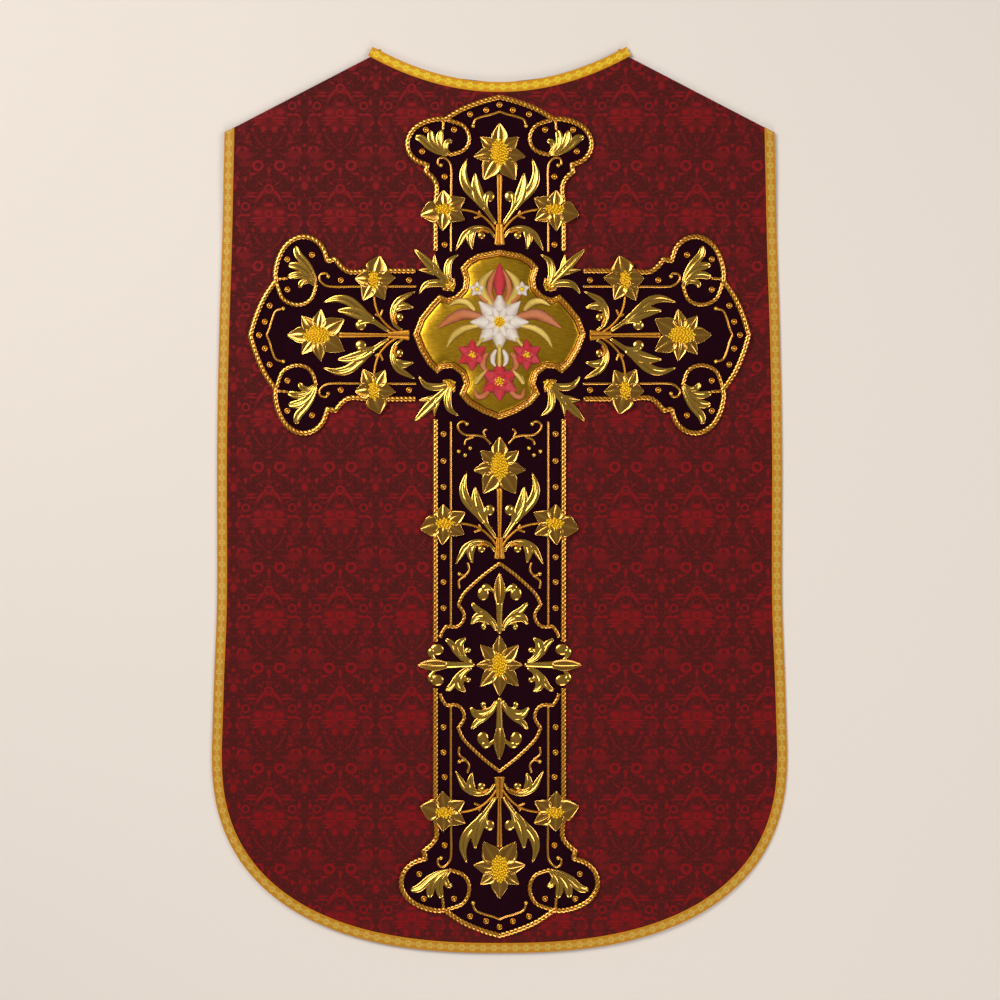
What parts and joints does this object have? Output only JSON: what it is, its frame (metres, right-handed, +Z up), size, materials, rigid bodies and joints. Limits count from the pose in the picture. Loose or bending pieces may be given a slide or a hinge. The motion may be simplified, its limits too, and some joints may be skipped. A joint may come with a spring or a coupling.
{
  "type": "fiddleback chasuble",
  "caption": "Fiddleback chasuble in damask laid flat, back up, with an applied velvet cross, padded goldwork and woven galloon round the edges.",
  "frame": {"origin": "middle of the laid garment's outline, on the surface it rests on", "axes": "+Y along the garment towards the neckline, +X to the right as seen from above the back panel, +Z up from the surface, out of the back panel"},
  "size_m": [0.72, 1.1324, 0.0143],
  "materials": {
    "damask": "red silk damask with a scrolling leaf repeat",
    "velvet": "near-black aubergine velvet pile",
    "galloon": "woven gold galloon with small rosettes",
    "gold_rope": "twisted gold thread rope",
    "goldwork": "padded gold kid and bullion, polished",
    "gold_cord": "thin couched gold cord",
    "gold_satin": "padded gold satin",
    "embroidery": "silk satin stitch in cream, red and auburn"
  },
  "bodies": {
    "root": {"front_panel": "damask", "back_panel": "damask", "front_edge_galloon": "galloon", "front_neck_galloon": "galloon", "back_edge_galloon": "galloon", "back_neck_galloon": "galloon", "cross_velvet": "velvet", "rope_top": "gold_rope", "rope_left": "gold_rope", "rope_right": "gold_rope", "rope_foot": "gold_rope", "rope_shaft_left": "gold_rope", "rope_shaft_right": "gold_rope", "spray_top": "goldwork", "spray_left": "goldwork", "spray_right": "goldwork", "spray_foot": "goldwork", "spray_shaft": "goldwork", "flower_top": "goldwork", "flower_left": "goldwork", "flower_right": "goldwork", "flower_foot": "goldwork", "flower_shaft": "goldwork", "star_top_a": "goldwork", "star_top_b": "goldwork", "star_left_a": "goldwork", "star_left_b": "goldwork", "star_right_a": "goldwork", "star_right_b": "goldwork", "star_foot_a": "goldwork", "star_foot_b": "goldwork", "star_shaft_a": "goldwork", "star_shaft_b": "goldwork", "fan_top_a": "goldwork", "fan_top_b": "goldwork", "fan_left_a": "goldwork", "fan_left_b": "goldwork", "fan_right_a": "goldwork", "fan_right_b": "goldwork", "fan_foot_a": "goldwork", "fan_foot_b": "goldwork", "sprig_upper_left": "goldwork", "sprig_upper_right": "goldwork", "sprig_lower_left": "goldwork", "sprig_lower_right": "goldwork", "fleury_flower": "goldwork", "fleury_upper": "goldwork", "fleury_lower": "goldwork", "fleury_left": "goldwork", "fleury_right": "goldwork", "cartouche_upper": "gold_cord", "cartouche_lower": "gold_cord", "medallion_field": "gold_satin", "medallion_frame": "gold_rope", "medallion_posy": "embroidery"}
  },
  "joints": []
}
